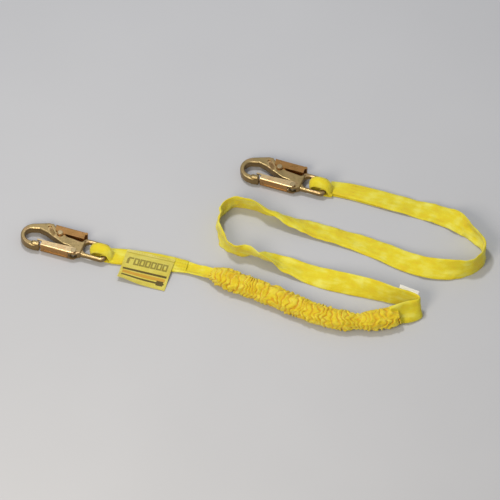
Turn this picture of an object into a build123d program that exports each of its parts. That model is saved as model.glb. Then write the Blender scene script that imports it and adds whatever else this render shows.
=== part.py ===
from build123d import *
import math
import os

# Shock absorbing lanyard: two self-locking snap hooks, a webbing lanyard and a gathered absorber.
#
# Millimetres, +Z up, lying on a floor at Z = 0, with the origin under the middle of the whole
# lanyard. +X runs from hook A towards the far end of the lanyard, and both hooks' bowls point to -X.
#
# A hook is drawn in its own frame: +X from the tip of the bowl to the webbing eye, +Y towards the
# lock lever, Z = 0 at the middle of the forging. Hook A and hook B are the same hook.

# ---------------------------------------------------------------- hook, driving dimensions
HOOK_LIFT = 9.0            # height of the forging's mid-plane above the floor
BODY_HALF = 5.8            # half thickness of bowl, back and shank
BODY_EDGE = 2.0            # rounding of the forging's edges
EYE_HALF = 3.8             # half thickness of the webbing eye
NOSE_HALF = 8.3            # half thickness of the nose that the gate closes on
SHEET = 1.8                # sheet of the stamped gate and lever
BEND_R = 1.5               # outside of the bend between a channel's web and its flanges
CHANNEL_HALF = 7.9         # half height of both channels, outside
CHANNEL_INSIDE = CHANNEL_HALF - SHEET
BOWL_OUTSIDE = (21.5, 3.2, 21.5)     # centre x, centre y, radius
BOWL_SEAT = (18.0, 2.0, 11.4)        # round seat that a ring or anchor bears on
GATE_PIVOT = (86.0, -9.0)
GATE_WEB_END = 79.0
LEVER_PIVOT = (56.0, 17.0)
LEVER_EAR_R = 5.2
GRIP_R = 2.4
RIVET_R = 2.5
RIVET_HEAD_R = 4.0
RIVET_HEAD = 1.0
RIVET_FIT = 0.02           # hole over rivet in the forging
RUNNING_CLEARANCE = 0.08   # hole over rivet in a channel
SPRING_WIRE_R = 0.4
SPRING_R = 3.5
SPRING_PITCH = 1.0
SPRING_HEIGHT = 3.5
SPRING_SLOT_HALF = 3.2
EYE_BAR_X = 131.3          # middle of the bar that the webbing goes round
EYE_START_X = 91.0
EYE_END_X = 135.0
EYE_HOLE_X = (97.0, 127.6)
EYE_HOLE_Y = (-4.0, 17.0)
EYE_RIM = 5.8
LOOP_Y = 6.5               # middle of the webbing in the eye

# ---------------------------------------------------------------- where the hooks lie
HOOK_YAW = -19.5
HOOK_A_TIP = (-345.0, 21.0)
HOOK_B_TIP = (-19.0, 149.0)

# ---------------------------------------------------------------- webbing
PLY = 3.0                  # flattened tubular webbing
FLOOR_GAP = 0.1
LOOP_WIDTH = 19.4          # webbing folded narrow to pass the eye
PAD_INSIDE_R = 5.3
PAD = 0.8
LOOP_BOTTOM = -HOOK_LIFT + FLOOR_GAP
LOOP_TOP = 12.4            # the webbing stands up in a loose fold over the bar
LOOP_REACH = -22.6         # how far the fold reaches from the bar into the eye
LOOP_JOIN = 15.5           # from the bar to where the loop becomes the flat strap
RUN_SHARE = 0.45           # share of the shorter run that a corner's arc takes
ARC_STEP = 12.0            # degrees of bend between two sections of a strap

# Routes: x, y, z of the middle of the strap, its roll about its own line in degrees
# (0 lies flat, 90 stands on edge), its width and its thickness.
NEAR_ROUTE = [
    (-205.0, -16.4, 1.6, 0, 25, 3.0),
    (-190.0, -18.0, 1.6, 0, 29, 3.0),
    (-162.0, -23.0, 1.6, 0, 29, 3.0),
    (-132.0, -28.6, 1.6, 0, 28, 3.0),
    (-106.0, -35.0, 1.6, 0, 25, 3.0),
    (-86.0, -42.5, 1.8, 0, 21, 3.0),
    (-70.0, -50.5, 5.0, 0, 20, 3.0),
    (-56.0, -58.0, 10.5, 0, 20, 3.0),
]
MAIN_ROUTE = [
    (224.0, -107.0, 16.2, 96, 32, 3.0),
    (206.0, -102.0, 16.1, 105, 32, 3.0),
    (180.0, -91.0, 14.6, 122, 32, 3.0),
    (144.0, -78.0, 12.0, 138, 32, 3.0),
    (108.0, -66.0, 9.6, 150, 32, 3.0),
    (76.0, -49.0, 5.0, 168, 32, 3.0),
    (49.0, -35.0, 4.0, 188, 32, 3.0),
    (25.0, -27.0, 10.0, 212, 32, 3.0),
    (5.0, -21.0, 14.8, 240, 32, 3.0),
    (-14.0, -19.0, 16.2, 260, 32, 3.0),
    (-34.0, -11.0, 16.3, 268, 32, 3.0),
    (-47.0, 13.0, 16.3, 275, 32, 3.0),
    (-53.0, 42.0, 16.2, 279, 32, 3.0),
    (-48.0, 66.0, 16.2, 277, 32, 3.0),
    (-27.0, 78.0, 16.3, 274, 32, 3.0),
    (2.0, 74.0, 16.2, 281, 32, 3.0),
    (27.0, 61.0, 14.8, 300, 32, 3.0),
    (47.0, 53.0, 10.4, 326, 32, 3.0),
    (74.0, 41.0, 5.9, 345, 32, 3.0),
    (108.0, 29.0, 3.1, 355, 32, 3.0),
    (147.0, 14.0, 2.2, 360, 32, 3.0),
    (186.0, -4.0, 3.4, 366, 32, 3.0),
    (224.0, -29.0, 6.2, 376, 32, 3.0),
    (262.0, -46.0, 10.4, 393, 32, 3.0),
    (296.0, -52.0, 14.8, 420, 32, 3.0),
    (324.0, -50.0, 16.2, 446, 32, 3.0),
    (344.0, -32.0, 16.2, 453, 32, 3.0),
    (345.0, -6.0, 15.8, 462, 32, 3.0),
    (332.0, 15.0, 13.8, 486, 32, 3.0),
    (309.0, 42.0, 7.6, 518, 32, 3.0),
    (278.0, 62.0, 3.0, 538, 32, 3.0),
    (241.0, 77.0, 2.2, 540, 32, 3.0),
    (206.0, 88.0, 4.8, 540, 31, 3.0),
    (172.0, 100.6, 4.8, 540, 29, 3.0),
    (142.0, 110.5, 4.8, 540, 28, 3.0),
    (122.0, 114.0, 4.8, 540, 25, 3.0),
]
# The sewn-back end of the strap at hook B, under the main strap.
TAIL_B_ROUTE = [
    (122.0, 114.0, 1.6, 0, 25, 3.0),
    (142.0, 110.5, 1.6, 0, 28, 3.0),
    (172.0, 100.6, 1.6, 0, 29, 3.0),
    (206.0, 88.0, 1.6, 0, 28, 2.6),
]
# The sewn-back end of the strap at hook A, on top of the near strap.
TAIL_A_ROUTE = [
    (-205.0, -16.4, 4.8, 0, 25, 3.0),
    (-190.0, -18.0, 4.8, 0, 29, 3.0),
    (-162.0, -23.0, 4.8, 0, 29, 3.0),
    (-132.0, -28.6, 4.8, 0, 28, 3.0),
    (-98.0, -37.5, 4.8, 0, 25, 3.0),
]
TURNBACK_ROUTE = [
    (207.0, -142.0, 13.4, 74, 24, 11.0),
    (221.0, -135.5, 14.0, 60, 29, 4.4),
    (239.0, -128.0, 15.0, 58, 32, 3.2),
    (245.5, -117.5, 16.6, 80, 32, 3.2),
    (224.0, -107.0, 16.2, 96, 32, 3.0),
]
TURNBACK_R = 5.0

# ---------------------------------------------------------------- absorber
ABSORBER_Z = 12.2
ABSORBER_ROUTE = [
    (-61.0, -56.0),
    (-40.0, -67.0),
    (-14.0, -80.0),
    (14.0, -92.5),
    (42.0, -108.0),
    (70.0, -123.0),
    (98.0, -137.5),
    (126.0, -147.0),
    (156.0, -151.0),
    (184.0, -147.5),
    (206.0, -142.0),
]
JACKET_HALF_WIDTH = 16.0
JACKET_HALF_HEIGHT = 12.0
JACKET_WALL = 3.2
CORE_GAP = 0.4
CORE_START_GAP = 9.0       # clear of the near strap, which ends inside the jacket's mouth

# ---------------------------------------------------------------- label, tag and stitching
LABEL_CORNER = (-188.0, -11.0)       # far left corner of the label's flap
LABEL_YAW = -16.5
LABEL_WIDTH = 74.0
LABEL_DEPTH = 52.0
LABEL_SHEET = 0.9
HEM_DEPTH = 5.0
HEM_Z = 6.9
HEM_GAP = 0.75             # room for the flap to turn beside the hem
TAG_SIZE = (32.0, 0.8, 14.0)
TAG_PLACE = (233.6, -107.7, 30.4)
TAG_YAW = -25.6
STITCH = (2.6, 0.8, 0.5)
STITCH_PITCH = 4.0
STITCH_SINK = 0.2          # how far a stitch lies in the webbing
SEW_ROWS = (-9.0, -3.0, 3.0, 9.0)    # rows of stitches across a sewn end
# first stitch of the middle, heading and number of stitches in a row, on the upper ply
SEWN_END_A = ((-117.0, -32.2), -15.6, 5)
SEWN_END_B = ((146.0, 109.2), -18.3, 6)
SEWN_TOP = 2 * PLY + 0.3


def export(node, shape):
    """Writes one sub-part's STEP file."""
    shape.label = node
    export_step(shape, f"parts/{node}.step")


def both_sides(plate):
    """A plate and its mirror image in the hook's mid-plane."""
    return plate + mirror(plate, about=Plane.XY)


def upright_pin(centre, radius, half):
    """A cylinder along Z through the hook's mid-plane."""
    return Pos(centre[0], centre[1], 0) * Cylinder(radius, 2 * half)


# ================================================================ hook
def tangent_point(circle, outside, side):
    """Where the line from a point outside a circle touches it, on the given side."""
    cx, cy, radius = circle
    dx, dy = outside[0] - cx, outside[1] - cy
    angle = math.atan2(dy, dx) + side * math.acos(radius / math.hypot(dx, dy))
    return (cx + radius * math.cos(angle), cy + radius * math.sin(angle))


def forging_outline():
    """Plan of bowl, back and shank, without the eye: open between the nose and the gate's pivot."""
    cx, cy, radius = BOWL_OUTSIDE
    sx, sy, seat = BOWL_SEAT
    start, end = math.radians(-57), math.radians(112)
    nose = (cx + radius * math.cos(start), cy + radius * math.sin(start))
    back = (cx + radius * math.cos(end), cy + radius * math.sin(end))
    far_wall, nose_root = (24.0, 15.6), (25.0, -9.9)
    seat_end = tangent_point(BOWL_SEAT, far_wall, 1)
    seat_start = tangent_point(BOWL_SEAT, nose_root, -1)
    bowl = ThreePointArc(nose, (cx - radius, cy), back)
    rear = Polyline(back, (34, 31.4), (41, 32.0), (47, 27.2), (55, 23.5), (62, 20.5), (67, 15.8),
                    (91, 13.2), (97, 18), (97, -9.2), (87, -15.6), (81, -13.5), (79, -1.5), (66, 0),
                    (54, 5), (35, 13.2), far_wall, seat_end)
    inside = ThreePointArc(seat_end, (sx - seat, sy), seat_start)
    tip = Polyline(seat_start, nose_root, (nose[0], -8.3), nose)
    face = make_face(bowl + rear + inside + tip)
    rounded = [v for v in face.vertices() if 36 < v.X < 96 and not (78 < v.X < 88 and v.Y < -12)]
    return fillet(rounded, 2.6)


def eye_ring():
    """The oblong eye that the webbing goes through."""
    x0, x1 = EYE_HOLE_X
    y0, y1 = EYE_HOLE_Y
    middle = Pos((EYE_START_X + EYE_END_X) / 2, (y0 + y1) / 2)
    outer = middle * Rectangle(EYE_END_X - EYE_START_X, y1 - y0 + 2 * EYE_RIM)
    outer = fillet(outer.vertices(), 8.0)
    hole = Pos((x0 + x1) / 2, (y0 + y1) / 2) * Rectangle(x1 - x0, y1 - y0)
    near_shank = [v for v in hole.vertices() if v.X < x1 - 1]
    hole = fillet(near_shank, 9.0)
    near_bar = [v for v in hole.vertices() if v.X > x1 - 1 and (abs(v.Y - y0) < 1 or abs(v.Y - y1) < 1)]
    hole = fillet(near_bar, 2.5)
    ring = extrude(outer - hole, EYE_HALF, both=True)
    rims = ring.edges().filter_by(lambda e: abs(abs(e.center().Z) - EYE_HALF) < 0.01)
    return fillet(rims, 2.3)


def nose():
    """The thick nose at the end of the bowl, with the flat face that the gate closes beside."""
    block = Pos(27.6, -12.7, 0) * Rot(Z=9) * Box(12.5, 8.2, 2 * NOSE_HALF)
    return fillet(block.edges(), 2.6)


def hook_body():
    """The forging: bowl, back, shank and eye in one piece."""
    plan = forging_outline()
    body = extrude(plan, BODY_HALF, both=True)
    rims = body.edges().filter_by(lambda e: abs(abs(e.center().Z) - BODY_HALF) < 0.01)
    body = fillet(rims, BODY_EDGE)
    body = body + eye_ring() + nose()
    # slots in the forging that hold the two springs
    gx, gy = GATE_PIVOT
    lx, ly = LEVER_PIVOT
    body -= Pos(gx - 1, gy - 2.5, 0) * Box(15, 15, 2 * SPRING_SLOT_HALF)
    body -= Pos(lx + 4, ly + 4.9, 0) * Box(18, 18, 2 * SPRING_SLOT_HALF)
    # rivet holes
    body -= upright_pin(GATE_PIVOT, RIVET_R + RIVET_FIT, NOSE_HALF)
    body -= upright_pin(LEVER_PIVOT, RIVET_R + RIVET_FIT, NOSE_HALF)
    # forged pocket beside the lever's ear, on both faces
    pocket = Pos(42.6, 17.6, BODY_HALF) * Rot(Z=-49) * extrude(SlotOverall(21, 6.4), 1.6, both=True)
    body -= both_sides(pocket)
    return body


def channel(outline, web_side, y_web):
    """A stamped channel: two flanges of the given outline, joined by a web at y_web."""
    block = extrude(outline, CHANNEL_HALF, both=True)
    bends = [e for e in block.edges().filter_by(Axis.X) if web_side * e.center().Y > web_side * y_web]
    block = fillet(bends, BEND_R)
    hollow = Pos(70, y_web - web_side * 30, 0) * Box(140, 60, 2 * CHANNEL_INSIDE)
    return block - hollow


def gate():
    """The stamped gate across the mouth, its web on the outside."""
    plate = make_face(Polyline((36, -15), (82, -15), (88, -13.5), (91, -9), (88, -4), (82, -3.2),
                               (50, -5.2), (28, -4.8), (28, -7.5), (36, -7.5), close=True))
    plate = fillet([v for v in plate.vertices() if v.X > 85 or v.X < 30], 1.2)
    part = channel(plate, -1, -15 + SHEET)
    # the web stops short of the forging round the pivot
    part -= Pos(GATE_WEB_END + 10, GATE_PIVOT[1], 0) * Box(20, 20, 2 * CHANNEL_INSIDE)
    # stamped panel in the web
    part -= Pos(60, -15, 0) * Rot(X=90) * extrude(SlotOverall(40, 7.6), 0.5, both=True)
    return part - upright_pin(GATE_PIVOT, RIVET_R + RUNNING_CLEARANCE, CHANNEL_HALF + 1)


def lock_lever():
    """The stamped lever on the hook's back, with a curled grip."""
    plate = make_face(Polyline((48, 19), (45.5, 30), (93, 30), (93, 17), (60, 17), close=True))
    plate = plate + Pos(*LEVER_PIVOT) * Circle(LEVER_EAR_R)
    part = channel(plate, 1, 30 - SHEET)
    # the free end is curled over into a round grip
    part += Pos(93.6, 27.6, 0) * Cylinder(GRIP_R, 2 * CHANNEL_HALF)
    part -= Pos(70, 30, 0) * Rot(X=90) * extrude(SlotOverall(30, 7.6), 0.5, both=True)
    return part - upright_pin(LEVER_PIVOT, RIVET_R + RUNNING_CLEARANCE, CHANNEL_HALF + 1)


def rivet(centre):
    """A headed pin through both cheeks of the forging and both flanges of a channel."""
    shank_half = CHANNEL_HALF + 0.05
    head = Pos(centre[0], centre[1], shank_half + RIVET_HEAD / 2) * Cylinder(RIVET_HEAD_R, RIVET_HEAD)
    head = fillet(head.edges().group_by(Axis.Z)[-1], 0.6)
    return upright_pin(centre, RIVET_R, shank_half) + both_sides(head)


def torsion_spring(centre, leg_low, leg_high):
    """A coil round a rivet, with a straight leg from each end of the coil."""
    coil = Pos(centre[0], centre[1], -SPRING_HEIGHT / 2) * Helix(SPRING_PITCH, SPRING_HEIGHT, SPRING_R)
    section = Plane(origin=coil @ 0, z_dir=coil % 0) * Circle(SPRING_WIRE_R)
    spring = sweep(section, path=coil, is_frenet=True)
    for root, tip in ((coil @ 0, leg_low), (coil @ 1, leg_high)):
        foot = Vector(tip[0], tip[1], root.Z)
        run = foot - root
        leg = Plane(origin=root, z_dir=run) * Cylinder(
            SPRING_WIRE_R, run.length, align=(Align.CENTER, Align.CENTER, Align.MIN))
        spring += leg + Pos(*root) * Sphere(SPRING_WIRE_R)
    return spring


def gate_spring():
    gx, gy = GATE_PIVOT
    spring = torsion_spring((0, 0), (-1.5, 9.0), (-2.4, -5.8))
    return Pos(gx, gy, 0) * Rot(Z=90) * spring


def lever_spring():
    lx, ly = LEVER_PIVOT
    spring = torsion_spring((0, 0), (3.4, 7.6), (-3.4, 8.0))
    return Pos(lx, ly, 0) * Rot(Z=-60) * spring


# ================================================================ webbing
def corner_radii(points):
    """The largest arcs that the runs of a route leave room for."""
    radii = []
    for before, corner, after in zip(points, points[1:], points[2:]):
        run_in = corner - before
        run_out = after - corner
        half_turn = math.radians(run_in.get_angle(run_out)) / 2
        radii.append(RUN_SHARE * min(run_in.length, run_out.length) / math.tan(half_turn))
    return radii


def blend(low, high, share):
    return [a + (b - a) * share for a, b in zip(low, high)]


def section_wire(at, along, roll, width, thickness):
    """The strap's rectangular section, square to its line and rolled about it."""
    left = Vector(0, 0, 1).cross(along).normalized()
    up = along.cross(left)
    turn = math.radians(roll)
    across = left * math.cos(turn) + up * math.sin(turn)
    normal = along.cross(across)
    corners = [at + across * (sx * width / 2) + normal * (sy * thickness / 2)
               for sx, sy in ((1, 1), (-1, 1), (-1, -1), (1, -1))]
    return Wire.make_polygon(corners, close=True)


def strap(name, route, radii=None):
    """A flat strap along straight runs joined by tangent arcs."""
    points = [Vector(*stop[:3]) for stop in route]
    radii = radii or corner_radii(points)
    path = FilletPolyline(*points, radius=radii)
    edges = path.edges()
    looks = [list(stop[3:]) for stop in route]
    # roll, width and thickness go evenly from the middle of one corner to the middle of the next
    corner = 0
    stations = [(points[0], (points[1] - points[0]).normalized(), looks[0])]
    for index, edge in enumerate(edges):
        first, last = edge @ 0, edge @ 1
        flip = (first - stations[-1][0]).length > (last - stations[-1][0]).length
        if edge.geom_type == GeomType.CIRCLE:
            corner += 1
            steps = max(2, math.ceil(edge.length / edge.radius / math.radians(ARC_STEP)))
        else:
            steps = 1
        if corner >= len(looks) - 1 and edge.geom_type == GeomType.CIRCLE:
            corner = len(looks) - 2
        for step in range(1, steps + 1):
            share = step / steps
            place = 1 - share if flip else share
            at = edge.position_at(place)
            along = edge.tangent_at(place) * (-1 if flip else 1)
            if edge.geom_type == GeomType.CIRCLE:
                before = blend(looks[corner], looks[corner - 1], RUN_SHARE)
                after = blend(looks[corner], looks[corner + 1], RUN_SHARE)
                look = blend(before, after, share)
            elif index == len(edges) - 1:
                look = looks[-1]
            else:
                look = blend(looks[corner], looks[corner + 1], 1 - RUN_SHARE)
            stations.append((at, along, look))
    solid = Solid.make_loft([section_wire(at, along, *look) for at, along, look in stations], ruled=True)
    length = sum(edge.length for edge in edges)
    widths = sum(stop[4] * stop[5] for stop in route) / len(route)
    print(f"{name}: length {length:.0f}, radii {[round(r) for r in radii]}, "
          f"volume {solid.volume:.0f} against about {widths * length:.0f}, sections {len(stations)}")
    return solid


def in_hook(tip):
    """The place of a hook's own frame in the lanyard's frame."""
    return Location((tip[0], tip[1], HOOK_LIFT), (0, 0, HOOK_YAW))


def fold_outline(inset):
    """Side view of the loose fold: along the floor, round its end in the eye, over the bar and down."""
    low, top, end = LOOP_BOTTOM + 0.9 * inset, LOOP_TOP - inset, LOOP_REACH + inset
    flank_top, flank_low = (4.6 - 0.6 * inset, 10.8 - 0.8 * inset), (13.6 - inset, -2.6 + 0.1 * inset)
    nose_low, nose_high = (-12.0, low), (-13.0 + 0.4 * inset, top - 1.4)
    nose_arc = ThreePointArc(nose_low, (end, 0.5), nose_high)
    crown = ThreePointArc(nose_high, (-5, top), flank_top)
    return nose_arc + crown, nose_low, flank_top, flank_low


def eye_loop():
    """The webbing round the eye's bar, drawn as a side view in the hook's frame."""
    outer, nose_low, flank_top, flank_low = fold_outline(0)
    outside = outer + Polyline(flank_top, flank_low, (LOOP_JOIN, flank_low[1]), (LOOP_JOIN, LOOP_BOTTOM), nose_low)
    inner, nose_low, flank_top, flank_low = fold_outline(PLY)
    hollow = inner + Polyline(flank_top, flank_low, (flank_low[0], nose_low[1]), nose_low)
    face = make_face(outside) - make_face(hollow)
    upright = Plane(origin=(EYE_BAR_X, LOOP_Y, 0), x_dir=(1, 0, 0), z_dir=(0, -1, 0))
    return extrude(upright * face, LOOP_WIDTH / 2, both=True)


def wear_pad():
    """The sleeve of webbing between the loop and the eye's bar."""
    start, end = math.radians(62), math.radians(298)
    rings = []
    for radius in (PAD_INSIDE_R, PAD_INSIDE_R + PAD):
        ends = [(radius * math.cos(a), radius * math.sin(a)) for a in (start, end)]
        rings.append((ends, ThreePointArc(ends[0], (-radius, 0), ends[1])))
    (inner_ends, inner), (outer_ends, outer) = rings
    face = make_face(inner + outer + Line(inner_ends[0], outer_ends[0]) + Line(inner_ends[1], outer_ends[1]))
    upright = Plane(origin=(EYE_BAR_X, LOOP_Y, 0), x_dir=(1, 0, 0), z_dir=(0, -1, 0))
    return extrude(upright * face, LOOP_WIDTH / 2 - 0.2, both=True)


# ================================================================ absorber
def absorber_path(skip=0.0):
    points = [Vector(x, y, ABSORBER_Z) for x, y in ABSORBER_ROUTE]
    run = points[1] - points[0]
    points[0] = points[0] + run.normalized() * skip
    radii = corner_radii(points)
    return FilletPolyline(*points, radius=radii), radii


def along_path(path, half_width, half_height):
    start = Plane(origin=path @ 0, x_dir=Vector(0, 0, 1).cross(path % 0), z_dir=path % 0)
    return sweep(start * Ellipse(half_width, half_height), path=path)


def absorber_jacket():
    path, radii = absorber_path()
    jacket = along_path(path, JACKET_HALF_WIDTH, JACKET_HALF_HEIGHT)
    print(f"absorber: length {path.length:.0f}, radii {[round(r) for r in radii]}, volume "
          f"{jacket.volume:.0f} against "
          f"{math.pi * JACKET_HALF_WIDTH * JACKET_HALF_HEIGHT * path.length:.0f}")
    return jacket - along_path(path, JACKET_HALF_WIDTH - JACKET_WALL, JACKET_HALF_HEIGHT - JACKET_WALL)


def absorber_core():
    path, _ = absorber_path(CORE_START_GAP)
    inset = JACKET_WALL + CORE_GAP
    return along_path(path, JACKET_HALF_WIDTH - inset, JACKET_HALF_HEIGHT - inset)


def stitch_band(path, share):
    """A ring of thread sewn round the jacket."""
    at, along = path.position_at(share), path.tangent_at(share)
    ring = Plane(origin=at, x_dir=Vector(0, 0, 1).cross(along), z_dir=along)
    line = ring * Ellipse(JACKET_HALF_WIDTH + 0.1, JACKET_HALF_HEIGHT + 0.1)
    inner = ring * Ellipse(JACKET_HALF_WIDTH - 0.3, JACKET_HALF_HEIGHT - 0.3)
    return extrude(line - inner, 0.5, dir=along, both=True)


def absorber_stitching():
    path, _ = absorber_path()
    return Compound(children=[stitch_band(path, share) for share in (0.015, 0.03, 0.965, 0.985)])


# ================================================================ label, tag and stitching
def label_frame():
    return Location((LABEL_CORNER[0], LABEL_CORNER[1], 0), (0, 0, LABEL_YAW))


def label_flap():
    """A sheet that lies on the strap and bends down to the floor at its near edge."""
    bend, top, low = 24.0, HEM_Z, 0.5
    side = make_face(Polyline((-0.3, top), (-bend, top), (-LABEL_DEPTH, low),
                              (-LABEL_DEPTH, low + LABEL_SHEET), (-bend, top + LABEL_SHEET),
                              (-0.3, top + LABEL_SHEET), close=True))
    upright = Plane(origin=(0, 0, 0), x_dir=(0, 1, 0), z_dir=(1, 0, 0))
    return label_frame() * extrude(upright * side, LABEL_WIDTH)


def label_hem():
    hem = Box(LABEL_WIDTH, HEM_DEPTH, LABEL_SHEET, align=(Align.MIN, Align.MIN, Align.MIN))
    return label_frame() * Pos(0, HEM_GAP, HEM_Z) * hem


def stitch_row(start, heading, count, z):
    """A straight row of stitches on the surface at height z."""
    row = Location((start[0], start[1], z + STITCH[2] / 2 - STITCH_SINK), (0, 0, heading))
    return [row * Pos(i * STITCH_PITCH, 0, 0) * Box(*STITCH) for i in range(count)]


def sewn_end(start, heading, count):
    """Lengthwise rows of stitches that hold two plies together."""
    rows = []
    place = Location((start[0], start[1], 0), (0, 0, heading))
    for offset in SEW_ROWS:
        at = place * Pos(0, offset, 0)
        rows += stitch_row((at.position.X, at.position.Y), heading, count, SEWN_TOP)
    return Compound(children=rows)


def label_stitching():
    frame = label_frame() * Pos(2, HEM_GAP + HEM_DEPTH / 2, 0)
    row = stitch_row((frame.position.X, frame.position.Y), LABEL_YAW, 18, HEM_Z + LABEL_SHEET)
    return Compound(children=row)


def inspection_tag():
    return Location(TAG_PLACE, (0, 0, TAG_YAW)) * Box(*TAG_SIZE)


def main():
    os.makedirs("parts", exist_ok=True)
    hook_pieces = {
        "body": hook_body(),
        "gate": gate(),
        "gate_rivet": rivet(GATE_PIVOT),
        "gate_spring": gate_spring(),
        "lock_lever": lock_lever(),
        "lever_rivet": rivet(LEVER_PIVOT),
        "lever_spring": lever_spring(),
    }
    for letter, tip in (("a", HOOK_A_TIP), ("b", HOOK_B_TIP)):
        for piece, shape in hook_pieces.items():
            export(f"hook_{letter}_{piece}", in_hook(tip) * shape)
        export(f"wear_pad_{letter}", in_hook(tip) * wear_pad())
    export("near_strap", strap("near strap", NEAR_ROUTE))
    export("main_strap", strap("main strap", MAIN_ROUTE))
    export("eye_loop_a", in_hook(HOOK_A_TIP) * eye_loop())
    export("eye_loop_b", in_hook(HOOK_B_TIP) * eye_loop())
    export("sewn_tail_a", strap("sewn tail a", TAIL_A_ROUTE))
    export("sewn_tail_b", strap("sewn tail b", TAIL_B_ROUTE))
    export("tail_stitching_a", sewn_end(*SEWN_END_A))
    export("tail_stitching_b", sewn_end(*SEWN_END_B))
    export("turnback", strap("turnback", TURNBACK_ROUTE, [40.0, TURNBACK_R, TURNBACK_R]))
    export("absorber_jacket", absorber_jacket())
    export("absorber_core", absorber_core())
    export("absorber_stitching", absorber_stitching())
    export("label_flap", label_flap())
    export("label_hem", label_hem())
    export("label_stitching", label_stitching())
    export("inspection_tag", inspection_tag())


if __name__ == "__main__":
    main()
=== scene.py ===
import math

import bpy
import numpy as np
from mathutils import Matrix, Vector, noise


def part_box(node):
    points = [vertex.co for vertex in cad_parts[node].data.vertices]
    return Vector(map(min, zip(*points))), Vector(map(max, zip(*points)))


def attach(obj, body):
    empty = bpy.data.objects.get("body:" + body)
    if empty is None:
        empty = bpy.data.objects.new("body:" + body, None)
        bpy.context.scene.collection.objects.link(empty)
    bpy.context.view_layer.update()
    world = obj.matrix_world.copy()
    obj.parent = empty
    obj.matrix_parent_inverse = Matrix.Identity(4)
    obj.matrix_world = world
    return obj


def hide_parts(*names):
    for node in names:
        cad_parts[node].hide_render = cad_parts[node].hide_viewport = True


# Shock absorbing lanyard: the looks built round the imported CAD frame. Metres, the CAD's own frame.
# Webbing, sleeve, label, tag and thread are modelled here. The hooks stay the CAD's own solids.
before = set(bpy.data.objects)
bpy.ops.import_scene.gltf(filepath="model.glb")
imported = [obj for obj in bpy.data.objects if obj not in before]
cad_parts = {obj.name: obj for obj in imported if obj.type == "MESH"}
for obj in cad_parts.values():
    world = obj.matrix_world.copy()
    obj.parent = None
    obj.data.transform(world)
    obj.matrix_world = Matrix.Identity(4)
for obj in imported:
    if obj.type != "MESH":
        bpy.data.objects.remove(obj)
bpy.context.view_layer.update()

MM = 0.001
ROOT = "lanyard"

# ---------------------------------------------------------------- camera, where the photograph's eye stood
VIEW_WIDTH = 0.743
ELEVATION = math.radians(50)
AIM = Vector((-0.0045, -0.0015, 0.0))
CAMERA_AWAY = 3.0

# ---------------------------------------------------------------- studio
BLACK = (0.0, 0.0, 0.0)
WHITE = (1.0, 1.0, 1.0)
WORLD_STRENGTH = 0.42
LIGHTS = [                 # name, place, side of its square, power, colour
    ("key", (-0.35, 0.60, 1.9), 0.25, 16.0, WHITE),
    ("front", (-0.7, -1.3, 1.2), 0.8, 19.0, (1.0, 0.90, 0.74)),
]
FLOOR_HALF = 3.0
FLOOR_TINTS = ((0.49, 0.50, 0.53), (0.51, 0.52, 0.55))

# ---------------------------------------------------------------- straps
# Routes in metres: x, y, z of the strap's middle, near the CAD's routes.
# Looks, one per route point: roll in degrees (0 flat, 90 on edge), width, thickness, cup and ripple in mm.
NEAR_ROUTE = [
    (-0.2110, -0.0160, 0.0016), (-0.1900, -0.0180, 0.0016), (-0.1620, -0.0230, 0.0016),
    (-0.1320, -0.0286, 0.0016), (-0.1060, -0.0350, 0.0016), (-0.0860, -0.0425, 0.0018),
    (-0.0700, -0.0505, 0.0050), (-0.0560, -0.0580, 0.0105),
]
NEAR_LOOKS = [
    (0, 26, 2.9, 0, 0), (0, 29, 3.0, 0, 0.2), (0, 29, 3.0, 0, 0.3), (0, 28, 3.0, 0, 0.3),
    (0, 25, 3.0, 1.2, 1.0), (0, 21, 3.0, 3.0, 1.4), (0, 20, 3.0, 4.0, 1.4), (0, 20, 3.0, 3.0, 0.5),
]
# From inside the sleeve, round the fold, round the left-hand and the right-hand loop, to the far hook.
MAIN_ROUTE = [
    (0.2040, -0.1410, 0.0150), (0.2200, -0.1365, 0.0152), (0.2370, -0.1325, 0.0150),
    (0.2490, -0.1270, 0.0150), (0.2465, -0.1170, 0.0130), (0.224, -0.107, 0.0162),
    (0.206, -0.102, 0.0161), (0.180, -0.091, 0.0146), (0.144, -0.078, 0.0120),
    (0.108, -0.066, 0.0096), (0.076, -0.049, 0.0050), (0.049, -0.035, 0.0040),
    (0.025, -0.027, 0.0100), (0.005, -0.021, 0.0148), (-0.014, -0.019, 0.0151),
    (-0.034, -0.011, 0.0150), (-0.047, 0.013, 0.0150), (-0.053, 0.042, 0.0151),
    (-0.048, 0.066, 0.0151), (-0.027, 0.078, 0.0150), (0.002, 0.074, 0.0151),
    (0.027, 0.061, 0.0148), (0.047, 0.053, 0.0104), (0.074, 0.041, 0.0059),
    (0.108, 0.029, 0.0031), (0.147, 0.014, 0.0022), (0.186, -0.004, 0.0034),
    (0.224, -0.029, 0.0062), (0.262, -0.046, 0.0104), (0.296, -0.052, 0.0148),
    (0.324, -0.050, 0.0151), (0.344, -0.032, 0.0151), (0.345, -0.006, 0.0154),
    (0.332, 0.015, 0.0152), (0.309, 0.042, 0.0120), (0.278, 0.062, 0.0052),
    (0.241, 0.077, 0.0022), (0.206, 0.088, 0.0048), (0.172, 0.1006, 0.0048),
    (0.142, 0.1105, 0.0048), (0.1145, 0.1160, 0.0048),
]
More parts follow.
